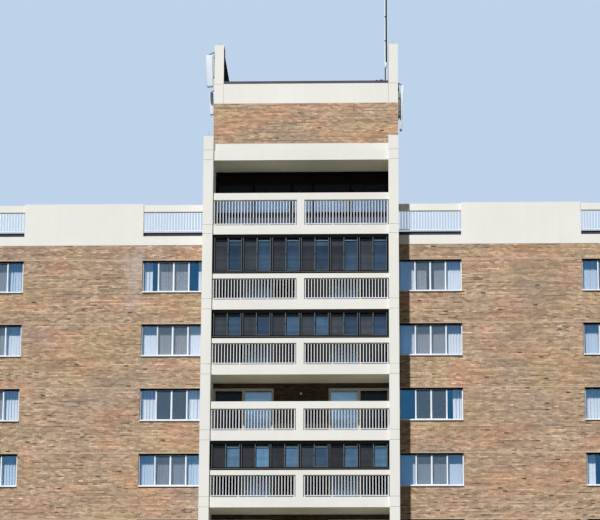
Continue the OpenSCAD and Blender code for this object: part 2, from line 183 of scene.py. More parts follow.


# Colours, as they show in plain light, apart from those noted as painted light
CREAM = srgb(236, 234, 227)
# Yellower, slightly darker tone of undersides: painted shade on soffits
SOFFIT_PAINTED_SHADE = srgb(236, 228, 200)
BRICK_TONES = [
    (0.00, srgb(92, 72, 60)),
    (0.14, srgb(138, 112, 92)),
    (0.32, srgb(172, 146, 120)),
    (0.48, srgb(190, 162, 134)),
    (0.64, srgb(172, 152, 132)),
    (0.78, srgb(206, 180, 150)),
    (0.90, srgb(198, 154, 128)),
    (1.00, srgb(224, 204, 180)),
]
BRICK_STAIN = srgb(158, 140, 130)
BRICK_WARM = srgb(208, 148, 118)
BRICK_OLIVE = srgb(178, 154, 112)
BRICK_BURNT = srgb(84, 66, 58)
BLOOM = srgb(206, 192, 186)
MORTAR_TONE = srgb(184, 160, 136)
GALVANISED = srgb(176, 180, 184)
FELT = srgb(62, 58, 68)
INSIDE = srgb(96, 94, 90)
GRAVEL = srgb(150, 147, 140)
# Sky blue of the window glass's mirror: painted sky reflection over the pale backdrop
WINDOW_SKY_TINT = srgb(112, 198, 252)
PANE_BROWN = srgb(38, 35, 34)
PANE_GREY = srgb(69, 76, 83)
# Navy to light blue panes: painted sky reflection
PANE_NAVY = srgb(44, 62, 86)
PANE_LIGHT = srgb(100, 142, 174)
# Door glass: a dark leaf, and a painted sky reflection for the leaf beside the pier
DOOR_DARK = srgb(14, 20, 32)
DOOR_SKY_REFLECTION = srgb(146, 180, 204)
# Lounge glass tones: painted shade at the top, painted sky reflection in the middle, darker painted
# reflection at the foot
LOUNGE_PAINTED_SHADE = srgb(24, 20, 17)
LOUNGE_SKY_REFLECTION = srgb(200, 224, 246)
LOUNGE_DEEP_SKY_REFLECTION = srgb(146, 186, 228)
LOUNGE_FOOT = srgb(62, 70, 88)
SCREEN_TINT = srgb(104, 118, 128)
FULL_LIGHT = (1.0, 1.0, 1.0, 1.0)
LOW_LIGHT = (0.78, 0.78, 0.82, 1.0)
HALF_LIGHT = (0.62, 0.62, 0.65, 1.0)
FLOOR_TONE = srgb(226, 229, 232)
FLOOR_BOUNCE = srgb(80, 80, 78)
BACKDROP_TONE = srgb(190, 211, 234)
SKY_LIGHT = (0.86, 0.93, 1.0, 1.0)
GROUND_LIGHT = (1.0, 0.95, 0.86, 1.0)

# Patches of other tones in the brickwork: colour, stretch of the pattern, its scale and detail,
# the values where a patch begins and is full, and its strength
BRICK_PATCHES = [
    (BRICK_OLIVE, (1.0, 1.0, 1.8), 0.5, 3.0, (0.44, 0.60), 0.42),
    (BRICK_WARM, (1.0, 1.0, 2.2), 0.9, 3.0, (0.50, 0.66), 0.45),
    (BRICK_STAIN, (0.9, 0.9, 1.6), 0.6, 4.0, (0.54, 0.70), 0.60),
]

# Painted light and shade on the enclosures' panes, and tones of the doors' bright leaves with their
# painted sky reflection and shade, by height in the storey
PANE_SHADE = [(0.40, LOW_LIGHT), (0.66, FULL_LIGHT), (0.82, FULL_LIGHT), (0.94, HALF_LIGHT)]
DOOR_SHADE = [(0.20, DOOR_DARK), (0.34, DOOR_SKY_REFLECTION), (0.86, DOOR_SKY_REFLECTION), (0.90, DOOR_DARK)]

# Coated metals: colour, and where they are not the usual ones, roughness and mirror strength
COATS = [
    ("pipe_paint", srgb(112, 118, 108)),
    ("white_paint", srgb(238, 243, 248)),
    ("railing_paint", srgb(216, 219, 222)),
    ("bronze_paint", srgb(9, 8, 8), 0.6, 0.05),
    ("edge_metal", srgb(66, 58, 68)),
    ("grey_anodised", srgb(204, 197, 174)),
    ("sash_anodised", srgb(88, 92, 92)),
    ("sash_pale_anodised", srgb(92, 102, 108)),
    ("sash_top_anodised", srgb(140, 180, 200)),
]
# Moulded materials: colour, roughness, and where it is not the usual one, mirror strength
MOULDINGS = [
    ("sealant", srgb(160, 140, 122), 0.8),
    ("pale_joint", srgb(202, 182, 160), 0.85),
    ("roof_felt", FELT, 0.9),
    # Near-black felt with no mirror, for the parapets' inner faces: painted shade
    ("bitumen_felt", srgb(36, 33, 38), 0.9, 0.0),
    ("rubber", srgb(24, 24, 26), 0.7),
    ("radome", srgb(220, 226, 233), 0.6),
    ("lamp_glass", srgb(226, 222, 206), 0.3),
]

BLIND_TONES = {
    "white": srgb(250, 252, 253), "ivory": srgb(244, 247, 248), "grey": srgb(218, 228, 236),
}
# Ways that blinds hang: the stretches of a window's width, from 0 to 1, that their slats cover
BLIND_STATES = {
    "closed": [(0.0, 1.0)],
    "parted": [(0.0, 0.44), (0.56, 1.0)],
    "stacked": [(0.01, 0.15), (0.89, 1.0)],
    "ends": [(0.0, 0.25), (0.75, 1.0)],
    "middle": [(0.0, 0.16), (0.26, 0.74), (0.89, 1.0)],
    "aside": [(0.84, 1.0)],
}
# How often each way comes, in the same order
BLIND_WEIGHTS = (5, 2, 2, 2, 1, 1)
# Blinds of the upper front windows that are not closed, by column from the left and by storey
BLINDS_OPENED = {
    (0, 11): "parted", (1, 12): "middle", (1, 10): "ends",
    (2, 12): "parted", (2, 10): "aside", (3, 10): "ends", (3, 9): "stacked",
}


class Nodes:
    """Short calls for the nodes of one tree."""

    def __init__(self, tree):
        self.tree = tree

    def feed(self, socket, value):
        if isinstance(value, bpy.types.NodeSocket):
            self.tree.links.new(value, socket)
        else:
            socket.default_value = value

    def node(self, kind, *values, named=(), **settings):
        """A new node. It takes values for its first sockets, and named ones for others."""
        made = self.tree.nodes.new(kind)
        for key, value in settings.items():
            setattr(made, key, value)
        for socket, value in [*enumerate(values), *dict(named).items()]:
            self.feed(made.inputs[socket], value)
        return made

    def math(self, operation, *values):
        return self.node("ShaderNodeMath", *values, operation=operation).outputs[0]

    def axes(self, vector):
        return self.node("ShaderNodeSeparateXYZ", vector).outputs

    def spread(self, value, low, high, to_low=0.0, to_high=1.0):
        """value between low and high, moved to the range from to_low to to_high."""
        numbers = (value, low, high, to_low, to_high)
        return self.node("ShaderNodeMapRange", *numbers, clamp=True).outputs[0]

    def seen(self):
        """1 for camera, mirror and glass rays, and 0 for those that only carry light."""
        path = self.node("ShaderNodeLightPath").outputs
        first = self.math("MAXIMUM", path["Is Camera Ray"], path["Is Glossy Ray"])
        return self.math("MAXIMUM", first, path["Is Transmission Ray"])


class Finish(Nodes):
    """One procedural material."""

    def __init__(self, name):
        self.name = name
        self.material = bpy.data.materials.new(name)
        self.material.use_nodes = True
        super().__init__(self.material.node_tree)
        self.shader = self.tree.nodes["Principled BSDF"]

    def position(self, stretch=(1, 1, 1)):
        """Object position, each axis multiplied by its own number."""
        where = self.node("ShaderNodeTexCoord").outputs["Object"]
        return self.node("ShaderNodeVectorMath", where, stretch, operation="MULTIPLY").outputs[0]

    def normal(self):
        return self.axes(self.node("ShaderNodeNewGeometry").outputs["Normal"])

    def vector(self, *numbers):
        return self.node("ShaderNodeCombineXYZ", *numbers).outputs[0]

    def noise(self, scale, detail, stretch=(1, 1, 1), where=None, roughness=0.5):
        """Noise over the object position, or over another place."""
        if where is None:
            where = self.position(stretch)
        named = {"Vector": where, "Scale": scale, "Detail": detail, "Roughness": roughness}
        return self.node("ShaderNodeTexNoise", named=named).outputs["Fac"]

    def cells(self, scale):
        """Random number of each cell of a pattern of flakes, and the distance from its middle."""
        named = {"Vector": self.position(), "Scale": scale}
        made = self.node("ShaderNodeTexVoronoi", named=named, feature="F1")
        return self.axes(made.outputs["Color"])[0], made.outputs["Distance"]

    def chance(self, *numbers):
        """White noise node that gives each set of whole numbers its own value and colour."""
        where = self.vector(*numbers)
        return self.node("ShaderNodeTexWhiteNoise", where, noise_dimensions="3D")

    def split(self, value):
        """Whole part and rest of a number."""
        whole = self.math("FLOOR", value)
        return whole, self.math("SUBTRACT", value, whole)

    def mix(self, share, first, second, blend="MIX"):
        named = {0: share, 6: first, 7: second}
        made = self.node("ShaderNodeMix", named=named, data_type="RGBA", blend_type=blend)
        return made.outputs[2]

    def ramp(self, value, stops):
        made = self.node("ShaderNodeValToRGB", value)
        elements = made.color_ramp.elements
        while len(elements) < len(stops):
            elements.new(1.0)
        for element, (place, colour) in zip(elements, stops):
            element.position = place
            element.color = colour
        return made.outputs[0]

    def brighten(self, colour, value, low, high):
        """colour multiplied by a grey that runs from low to high with value."""
        plain = colour[:3] if isinstance(colour, tuple) else colour
        grey = {"Scale": self.spread(value, *NOISE_RANGE, low, high)}
        return self.node("ShaderNodeVectorMath", plain, named=grey, operation="SCALE").outputs[0]

    def bump(self, height, distance, strength):
        named = {"Height": height, "Distance": distance, "Strength": strength}
        bumped = self.node("ShaderNodeBump", named=named).outputs[0]
        self.feed(self.shader.inputs["Normal"], bumped)

    def waves(self):
        """Slightly uneven surface of sheet glass."""
        self.bump(self.noise(2.5, 1.0), 0.002, 0.25)

    def finish(self, colour, roughness, metallic=0.0, specular=0.5, alpha=1.0):
        """The name and the material, with its shader's values set."""
        values = {"Base Color": colour, "Roughness": roughness, "Metallic": metallic,
                  "Specular IOR Level": specular, "Alpha": alpha}
        for socket, value in values.items():
            self.feed(self.shader.inputs[socket], value)
        return self.name, self.material


def painted_concrete(name="painted_concrete", top=CREAM):
    """Cream masonry paint: faint rain streaks, a fine rolled texture, painted shade on soffits."""
    f = Finish(name)
    patches = f.noise(0.9, 4.0)
    streaks = f.noise(1.0, 3.0, (7.0, 7.0, 0.35))
    grain = f.noise(90.0, 2.0)
    level = f.normal()[2]
    colour = f.mix(f.math("GREATER_THAN", level, TURNED), CREAM, top)
    colour = f.brighten(colour, patches, 0.965, 1.025)
    colour = f.brighten(colour, streaks, 0.975, 1.015)
    # Faces turned down take the yellower, darker tone: painted shade
    under = f.brighten(SOFFIT_PAINTED_SHADE, patches, 0.9, 1.1)
    colour = f.mix(f.math("LESS_THAN", level, -TURNED), colour, under)
    f.bump(grain, 0.0012, 0.5)
    return f.finish(colour, f.spread(streaks, *NOISE_RANGE, 0.62, 0.78), specular=0.35)


def bloom_share(f, x, y, z):
    """How much lime bloom lies on the front brickwork: a ragged patch round one place."""
    off = [f.math("DIVIDE", f.math("ABSOLUTE", f.math("SUBTRACT", value, centre)), reach)
           for value, centre, reach in zip((x, z), BLOOM_AT, BLOOM_REACH)]
    thinning = f.math("MULTIPLY", f.math("MAXIMUM", *off), BLOOM_FADE)
    ragged = f.noise(1.6, 4.0, (3.0, 3.0, 2.0), roughness=0.65)
    patch = f.spread(f.math("SUBTRACT", ragged, thinning), 0.18, 0.42)
    front = f.math("LESS_THAN", y, 0.0)
    return f.math("MULTIPLY", front, f.math("MULTIPLY", patch, BLOOM_STRENGTH))


def course_noise(f, along, course, side, stretch, jump, detail):
    """Noise that runs along each course and jumps from one course to the next."""
    where = f.vector(f.math("MULTIPLY", along, stretch), f.math("MULTIPLY", course, jump), side)
    return f.noise(1.0, detail, where=where)


def brick_tone(f, along, course, brick, side):
    """Colour of each brick: its own tone and its run's, under patches of other tones."""
    chance = f.chance(brick, course, side)
    _, own, rare = f.axes(chance.outputs["Color"])
    streak = course_noise(f, along, course, side, 2.4, 3.7, 2.0)
    run = f.spread(streak, 0.34, 0.66, 0.0, 1.0 - OWN_TONE)
    tone = f.ramp(f.math("MULTIPLY_ADD", chance.outputs["Value"], OWN_TONE, run), BRICK_TONES)
    for colour, stretch, scale, detail, (start, full), strength in BRICK_PATCHES:
        patch = f.noise(scale, detail, stretch)
        tone = f.mix(f.spread(patch, start, full, 0.0, strength), tone, colour)
    tone = f.brighten(tone, own, 0.80, 1.18)
    batch = course_noise(f, along, course, side, 1.1, 5.3, 1.0)
    tone = f.brighten(tone, batch, 0.70, 1.28)
    return f.mix(f.math("GREATER_THAN", rare, 1.0 - BURNT_SHARE), tone, BRICK_BURNT)


def facing_brick(name="facing_brick", shade=1.0):
    """Facing bricks in running bond, each with its own tone, with raked joints; a shade under 1 is
    painted shade.
    """
    f = Finish(name)
    x, y, z = f.axes(f.position())
    side = f.math("GREATER_THAN", f.math("ABSOLUTE", f.normal()[0]), TURNED)
    along = f.math("ADD", f.math("MULTIPLY", y, side),
                   f.math("MULTIPLY", x, f.math("SUBTRACT", 1.0, side)))
    course, course_part = f.split(f.math("DIVIDE", z, COURSE_HEIGHT))
    shift = f.math("MULTIPLY", f.math("MODULO", course, 2.0), 0.5)
    brick, brick_part = f.split(f.math("ADD", f.math("DIVIDE", along, BRICK_LENGTH), shift))
    tone = brick_tone(f, along, course, brick, side)
    tone = f.mix(bloom_share(f, x, y, z), tone, BLOOM)
    tone = f.brighten(tone, f.noise(1.3, 3.0, (0.8, 0.8, 2.4)), 0.93, 1.07)
    grain = f.noise(45.0, 4.0)
    tone = f.brighten(tone, grain, 0.80 * shade, 1.20 * shade)
    mortar = f.brighten(MORTAR_TONE, grain, 0.92 * shade, 1.04 * shade)
    bed = f.math("LESS_THAN", course_part, MORTAR / COURSE_HEIGHT)
    head = f.math("LESS_THAN", brick_part, MORTAR / BRICK_LENGTH)
    joint = f.math("MAXIMUM", bed, head)
    height = f.math("ADD", f.math("SUBTRACT", 1.0, joint), f.math("MULTIPLY", grain, 0.35))
    f.bump(height, 0.003, 0.5)
    rough = f.spread(grain, *NOISE_RANGE, 0.8, 0.95)
    return f.finish(f.mix(joint, tone, mortar), rough, specular=0.2)


def coated_metal(name, tone, roughness=0.4, specular=0.4):
    """Powder-coated or anodised metal, a little uneven, with faint upright streaks."""
    f = Finish(name)
    wide = f.noise(2.3, 3.0)
    brushed = f.noise(1.0, 3.0, (60.0, 60.0, 3.0))
    colour = f.brighten(tone, wide, 0.93, 1.05)
    colour = f.brighten(colour, brushed, 0.97, 1.03)
    f.bump(brushed, 0.0004, 0.3)
    rough = f.spread(wide, *NOISE_RANGE, roughness - 0.06, roughness + 0.08)
    return f.finish(colour, rough, specular=specular)


def galvanised():
    """Zinc-coated steel with a faint spangle."""
    f = Finish("galvanised")
    flake, _ = f.cells(160.0)
    f.bump(flake, 0.0003, 0.2)
    rough = f.spread(flake, 0.0, 1.0, 0.38, 0.55)
    return f.finish(f.brighten(GALVANISED, flake, 0.86, 1.06), rough, metallic=0.6)


def glazing(name, tint, alpha):
    """Coated sheet glass, slightly uneven: it mirrors a share of the light, tinted as a painted sky
    reflection, and passes the rest.
    """
    f = Finish(name)
    colour = f.brighten(tint, f.noise(1.1, 2.0), 0.85, 1.15)
    f.waves()
    return f.finish(colour, 0.05, metallic=1.0, alpha=alpha)


def enclosure_glazing():
    """Dark sliding panes: one of each pair brown to grey, the other navy to light blue as a painted
    sky reflection.
    """
    f = Finish("enclosure_glass")
    x, _, z = f.axes(f.position())
    column = f.math("FLOOR", f.math("DIVIDE", x, ENCLOSURE_PANE))
    level, height = f.split(f.math("DIVIDE", z, STOREY_HEIGHT))
    first, second, third = f.axes(f.chance(column, level, 0.0).outputs["Color"])
    lit = 0.0
    for number in LIT_STOREYS:
        lit = f.math("MAXIMUM", lit, f.math("COMPARE", level, number - 1.0, 0.5))
    contrast = f.spread(lit, 0.0, 1.0, *PANE_CONTRAST)
    grey = f.math("SUBTRACT", 0.9, f.math("MULTIPLY", first, contrast))
    neutral = f.mix(grey, PANE_BROWN, PANE_GREY)
    light = f.math("MULTIPLY_ADD", second, contrast, 0.1)
    blue = f.mix(light, PANE_NAVY, PANE_LIGHT)
    parity = f.math("ABSOLUTE", f.math("MODULO", column, 2.0))
    colour = f.mix(parity, neutral, blue)
    colour = f.brighten(colour, f.noise(1.0, 2.0, (0.5, 1.0, 14.0)), 0.8, 1.2)
    colour = f.brighten(colour, f.noise(1.0, 2.0, (9.0, 1.0, 2.0)), 0.85, 1.15)
    # Darker at the top and foot of each storey: painted shade
    colour = f.mix(1.0, colour, f.ramp(height, PANE_SHADE), "MULTIPLY")
    colour = f.brighten(colour, third, 0.85, 1.15)
    f.waves()
    return f.finish(colour, 0.08, specular=0.25, alpha=0.9)


def lounge_glazing():
    """Lounge glass: painted shade nearly black at the top, a painted sky reflection in the middle,
    and a darker painted reflection at the foot.
    """
    f = Finish("lounge_glass")
    x, _, z = f.axes(f.position())
    pane = f.math("FLOOR", f.math("ADD", f.math("DIVIDE", x, LOUNGE_PANE), 0.5))
    chance = f.chance(pane, 0.0, 0.0).outputs["Value"]
    sky = f.mix(chance, LOUNGE_DEEP_SKY_REFLECTION, LOUNGE_SKY_REFLECTION)
    sky = f.brighten(sky, f.noise(1.0, 2.0, (2.2, 1.0, 0.6)), 0.8, 1.2)
    # Painted sky reflection, darker below the transom, and painted shade above
    lower = f.mix(f.math("LESS_THAN", z, LOUNGE_TRANSOM), sky, LOUNGE_FOOT)
    under = f.math("LESS_THAN", z, LOUNGE_PAINTED_SHADE_FROM)
    rough = f.spread(under, 0.0, 1.0, 0.08, 0.55)
    f.waves()
    return f.finish(f.mix(under, LOUNGE_PAINTED_SHADE, lower), rough,
                    metallic=f.math("MULTIPLY", under, 0.75), specular=0.08)


def door_glazing():
    """Sliding door glass: the leaf beside the brick pier has a painted sky reflection, dark as
    painted shade at its top and foot; the other is dark.
    """
    f = Finish("door_glass")
    x, _, z = f.axes(f.position())
    near = f.math("LESS_THAN", f.math("ABSOLUTE", x), DOOR_MIDDLE)
    _, height = f.split(f.math("DIVIDE", z, STOREY_HEIGHT))
    # Near leaf: painted sky reflection, with painted shade at its top and foot
    colour = f.mix(near, DOOR_DARK, f.ramp(height, DOOR_SHADE))
    colour = f.brighten(colour, f.noise(1.6, 2.0, (1.0, 1.0, 6.0)), 0.8, 1.2)
    rough = f.spread(near, 0.0, 1.0, 0.08, 0.36)
    f.waves()
    return f.finish(colour, rough, metallic=f.math("MULTIPLY", near, 0.8), specular=0.2)


def woven(name, tone, alpha=1.0):
    """Matt vinyl or mesh with a fine weave."""
    f = Finish(name)
    weave = f.noise(1.0, 2.0, (220.0, 220.0, 40.0))
    f.bump(weave, 0.0003, 0.4)
    return f.finish(f.brighten(tone, weave, 0.94, 1.05), 0.7, specular=0.3, alpha=alpha)


def roofing():
    """Roof covering of rolled gravel in bitumen."""
    f = Finish("roofing")
    stone, distance = f.cells(55.0)
    colour = f.brighten(GRAVEL, stone, 0.6, 1.25)
    colour = f.brighten(colour, f.noise(0.7, 4.0), 0.85, 1.08)
    f.bump(distance, 0.004, 0.7)
    return f.finish(colour, 0.9, specular=0.2)


def plaster():
    """Plain grey plaster and screed inside the building."""
    f = Finish("plaster")
    colour = f.brighten(INSIDE, f.noise(1.4, 4.0), 0.88, 1.08)
    f.bump(f.noise(70.0, 3.0), 0.001, 0.4)
    return f.finish(colour, 0.85, specular=0.2)


def moulded(name, tone, roughness, specular=0.3):
    """Moulded plastic, rubber or felt with a faint orange-peel surface."""
    f = Finish(name)
    colour = f.brighten(tone, f.noise(3.0, 3.0), 0.95, 1.04)
    f.bump(f.noise(140.0, 2.0), 0.0004, 0.3)
    return f.finish(colour, roughness, specular=specular)


def around(centre, half):
    """The two limits at one distance from a centre."""
    return (centre - half, centre + half)


def inside(limits, margin):
    """The two limits that lie a margin inside others."""
    return (limits[0] + margin, limits[1] - margin)


def circle(radius, sides):
    angles = [2 * math.pi * i / sides for i in range(sides)]
    return [(radius * math.cos(angle), radius * math.sin(angle)) for angle in angles]


def facing(low, high):
    """-1 at the front and 1 at the rear, and the y of a solid's outer and inner side."""
    if low[1] + high[1] < 0:
        return -1, low[1], high[1]
    return 1, high[1], low[1]


def put(name, data):
    """A new object in the scene."""
    made = bpy.data.objects.new(name, data)
    scene.collection.objects.link(made)
    return made


class Solids:
    """Closed solids that become one mesh piece."""

    def __init__(self):
        self.points = []
        self.faces = []

    def loft(self, rings):
        """Closed solid through rings of points, all with the same number of points."""
        count = len(rings[0])
        levels = []
        for ring in rings:
            start = len(self.points)
            levels.append(list(range(start, start + count)))
            self.points += [tuple(point) for point in ring]
        self.faces += [levels[0][::-1], levels[-1]]
        for low, high in zip(levels, levels[1:]):
            for i in range(count):
                j = (i + 1) % count
                self.faces.append([low[i], low[j], high[j], high[i]])

    def prism(self, outline, low, high):
        """Upright prism over an outline in plan, given anticlockwise."""
        self.loft([[(x, y, z) for x, y in outline] for z in (low, high)])

    def box(self, x, y, z):
        """Box between two values of x, of y and of z, each two in either order."""
        (x0, x1), (y0, y1), (z0, z1) = sorted(x), sorted(y), sorted(z)
        self.prism([(x0, y0), (x1, y0), (x1, y1), (x0, y1)], z0, z1)

    def rod(self, start, end, radius, sides=10):
        """Round bar from one point to another."""
        start, end = Vector(start), Vector(end)
        turn = (end - start).to_track_quat("Z", "Y")
        rim = [turn @ Vector((a, b, 0)) for a, b in circle(radius, sides)]
        self.loft([[end_point + point for point in rim] for end_point in (start, end)])

    def turned(self, centre, foot, rings, radius, sides=12, squash=1.0):
        """Upright turned solid. A ring is a height over the foot and a share of the radius."""
        x, y = centre
        self.loft([[(x + a * size, y + b * size * squash, foot + up)
                    for a, b in circle(radius, sides)] for up, size in rings])

    def piece(self, name, material, slot, bevel=0.0, smooth=False):
        """The mesh piece of all the solids. It rides on the building; the slot it is given is not
        used.
        """
        mesh = bpy.data.meshes.new(name)
        mesh.from_pydata(self.points, [], self.faces)
        if smooth:
            mesh.shade_smooth()
            mesh.set_sharp_from_angle(angle=math.radians(SHARP_ANGLE))
        mesh.materials.append(material)
        made = put(name, mesh)
        if bevel:
            rounding = made.modifiers.new("rounding", "BEVEL")
            rounding.width = bevel
            rounding.segments = 2
            rounding.limit_method = "ANGLE"
        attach(made, "root")
        return made


def separate_solids(node):
    """Lowest and highest corners of each separate solid in a CAD node, sorted by place."""
    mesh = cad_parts[node].data
    corners = np.array([v.co for v in mesh.vertices]).round(DECIMALS)
    places, index = np.unique(corners, axis=0, return_inverse=True)
    index = index.ravel()
    parent = list(range(len(places)))

    def top(i):
        while parent[i] != i:
            parent[i] = parent[parent[i]]
            i = parent[i]
        return i

    for polygon in mesh.polygons:
        first, *others = (top(index[v]) for v in polygon.vertices)
        for other in others:
            parent[top(other)] = top(first)
    groups = {}
    for i, place in enumerate(places):
        groups.setdefault(top(i), []).append(place)
    boxes = [(np.min(group, axis=0), np.max(group, axis=0)) for group in groups.values()]
    return sorted(boxes, key=lambda pair: tuple(pair[0]))


class Opening:
    """A glazed opening, as its sheet of glass fills it, with its limits in x and z."""

    def __init__(self, low, high):
        self.x = (low[0], high[0])
        self.z = (low[2], high[2])
        self.out, self.outer, self.inner = facing(low, high)
        self.width = high[0] - low[0]
        self.storey = int(low[2] // STOREY_HEIGHT) + 1

    def ahead(self, distance):
        """y of a plane in front of the glass."""
        return self.outer + self.out * distance

    def behind(self, distance):
        """y of a plane behind the glass."""
        return self.inner - self.out * distance

    def spans(self, count, bar):
        """Limits in x of the clear spans between an opening's equal bars."""
        pitch = (self.width - bar) / count
        starts = [self.x[0] + bar + i * pitch for i in range(count)]
        return [(start, start + pitch - bar) for start in starts]

    def plate(self, solids, x, z, ahead):
        """Upright plate between two planes in front of the glass."""
        solids.box(x, [self.ahead(distance) for distance in ahead], z)

    def rim(self, solids, x, z, ahead, width):
        """Rectangular rim between two planes in front of the glass."""
        between = inside(z, width)
        self.plate(solids, x, (z[0], between[0]), ahead)
        self.plate(solids, x, (between[1], z[1]), ahead)
        self.plate(solids, (x[0], x[0] + width), between, ahead)
        self.plate(solids, (x[1] - width, x[1]), between, ahead)


def openings(node):
    return [Opening(*pair) for pair in separate_solids(node)]


def make_camera():
    lens = bpy.data.cameras.new("camera")
    lens.lens = CAMERA_LENS
    lens.sensor_width = SENSOR_WIDTH
    lens.clip_end = 2 * FLOOR_SIZE
    camera = put("camera", lens)
    aim = Euler((math.radians(90 + CAMERA_PITCH), 0, math.radians(CAMERA_YAW))).to_matrix()
    roll = Matrix.Rotation(math.radians(CAMERA_ROLL), 3, "Z")
    camera.rotation_euler = (aim @ roll).to_euler()
    camera.location = CAMERA_AT
    scene.camera = camera


def make_lamp(name, azimuth, elevation, strength, softness):
    """A far lamp: straight before the front at azimuth 0, and on the side of -X at 90."""
    lamp = bpy.data.lights.new(name, "SUN")
    lamp.energy = strength
    lamp.angle = math.radians(softness)
    put(name, lamp).rotation_euler = (math.radians(90 - elevation), 0, math.radians(-azimuth))


def make_world():
    """Even light from above and a little from below, with a pale backdrop."""
    world = bpy.data.worlds.new("studio")
    world.use_nodes = True
    nodes = Nodes(world.node_tree)
    nodes.tree.nodes.clear()
    direction = nodes.node("ShaderNodeTexCoord").outputs["Generated"]
    above = nodes.spread(nodes.axes(direction)[2], -HORIZON_BLEND, HORIZON_BLEND)
    shown, sky, backdrop = (
        nodes.node("ShaderNodeBackground", colour, strength).outputs[0]
        for colour, strength in ((GROUND_LIGHT, GROUND_STRENGTH), (SKY_LIGHT, SKY_STRENGTH),
                                 (BACKDROP_TONE, BACKDROP_STRENGTH)))
    for share, other in ((above, sky), (nodes.seen(), backdrop)):
        shown = nodes.node("ShaderNodeMixShader", share, shown, other).outputs[0]
    nodes.node("ShaderNodeOutputWorld", shown)
    scene.world = world


def make_floor():
    """Pale floor that keeps the building's shadow and sends little light up."""
    half = FLOOR_SIZE / 2
    mesh = bpy.data.meshes.new("floor")
    mesh.from_pydata([(-half, -half, 0), (half, -half, 0), (half, half, 0), (-half, half, 0)],
                     [], [(0, 1, 2, 3)])
    f = Finish("floor")
    _, material = f.finish(f.mix(f.seen(), FLOOR_BOUNCE, FLOOR_TONE), 0.9, specular=0.1)
    mesh.materials.append(material)
    put("floor", mesh)


def dress_nodes(finish):
    """Gives every CAD node its material."""
    groups = {
        "painted_concrete": (
            "roof_edge_bands parapet_panels gable_parapets parapet_beams front_fin_walls "
            "rear_fin_walls balcony_slabs balcony_edge_bands balcony_guard_beams "
            "balcony_centre_posts roof_kerbs plant_house_fins plant_house_band"),
        "felted_concrete": "balcony_roofs",
        "facing_brick": (
            "front_brick_piers rear_brick_piers front_brick_spandrels rear_brick_spandrels "
            "gable_walls lounge_side_walls plant_house_walls"),
        # The balcony piers and lintels get a darker copy of the brick: painted shade in the
        # recesses
        "painted_shade_brick": "balcony_brick_piers balcony_lintels",
        "plaster": "ground_slab floor_slabs",
        "roofing": "roof_slab lounge_roof plant_house_roof",
        "white_paint": "window_frames window_sills parapet_railings balcony_lights",
        "railing_paint": "front_balcony_railings rear_balcony_railings",
        "bronze_paint": "enclosure_frames lounge_frames",
        "edge_metal": "roof_edge_trim",
        "grey_anodised": "sliding_door_frames",
        "galvanised": "antenna_mast lightning_rods",
        "radome": "aerial_panels",
        "window_glass": "window_glass",
        "enclosure_glass": "enclosure_glass",
        "door_glass": "sliding_door_glass",
        "lounge_glass": "lounge_glass",
    }
    for name, nodes in groups.items():
        for node in nodes.split():
            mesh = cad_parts[node].data
            mesh.materials.clear()
            mesh.materials.append(finish[name])


def make_window_gaskets(finish):
    """Dark gasket round each pane of the wings' windows, and a near-black strip over each frame:
    painted shade under the head.
    """
    rims, head_shade_strips = Solids(), Solids()
    for window in openings("window_glass"):
        for x in window.spans(PANES, WINDOW_BAR):
            window.rim(rims, x, inside(window.z, WINDOW_BAR), GASKET_AHEAD, GASKET)
        top = window.z[1]
        # Near-black strip under the head: painted shade
        window.plate(head_shade_strips, window.x, (top - HEAD_SHADE_STRIP, top), HEAD_SHADE_STRIP_AHEAD)
    rims.piece("window_gaskets", finish["rubber"], "bronze_frame")
    head_shade_strips.piece("window_head_shade_strips", finish["bronze_paint"], "bronze_frame")


def make_insect_screens(finish):
    """Insect screens over the two middle panes of each window."""
    rims, meshes = Solids(), Solids()
    for window in openings("window_glass"):
        z = inside(window.z, WINDOW_BAR)
        for x in window.spans(PANES, WINDOW_BAR)[1:-1]:
            window.rim(rims, x, z, SCREEN_RIM_AHEAD, SCREEN_RIM)
            window.plate(meshes, inside(x, SCREEN_RIM), inside(z, SCREEN_RIM), SCREEN_MESH_AHEAD)
    rims.piece("screen_rims", finish["white_paint"], "white_frame")
    meshes.piece("screen_meshes", finish["screen_mesh"], "grey_frame")


def slat(blinds, x, y, turn, low, high):
    """One upright slat at x and y, turned by an angle from the plane of the glass."""
    along = Vector((math.cos(turn), math.sin(turn))) * SLAT_WIDTH / 2
    across = Vector((-math.sin(turn), math.cos(turn))) * SLAT_THICKNESS / 2
    centre = Vector((x, y))
    signs = ((-1, -1), (1, -1), (1, 1), (-1, 1))
    blinds.prism([tuple(centre + a * along + b * across) for a, b in signs], low, high)


def make_blinds(finish):
    """Vertical slat blinds that hang inside the wall, behind the wings' windows."""
    chance = random.Random(SEED)
    blinds = {tone: Solids() for tone in BLIND_TONES}
    rails = Solids()
    windows = openings("window_glass")
    columns = sorted({window.x[0] for window in windows})
    for window in windows:
        state = chance.choices(list(BLIND_STATES), weights=BLIND_WEIGHTS)[0]
        if window.out < 0 and window.storey > STOREYS - TOP_STOREYS:
            place = (columns.index(window.x[0]), window.storey)
            state = BLINDS_OPENED.get(place, "closed")
        solids = blinds[chance.choice(list(BLIND_TONES))]
        low = window.z[0] - BLIND_DROP
        high = window.z[1] + HEAD_RAIL
        rails.box(inside(window.x, -HEAD_RAIL_MARGIN),
                  [window.behind(distance) for distance in HEAD_RAIL_BEHIND],
                  (high, high + HEAD_RAIL))
        turn = math.radians(chance.uniform(*SLAT_TURN))
        for start, end in BLIND_STATES[state]:
            count = round((end - start) * window.width / SLAT_PITCH)
            for i in range(count):
                x = window.x[0] + window.width * (start + (end - start) * (i + 0.5) / count)
                angle = window.out * turn + math.radians(chance.gauss(0, SLAT_TURN_SPREAD))
                slat(solids, x, window.behind(BLIND_BEHIND), angle, low, high)
    for tone, solids in blinds.items():
        solids.piece("blinds_" + tone, finish["blind_" + tone], "white_frame")
    rails.piece("blind_rails", finish["white_paint"], "white_frame")


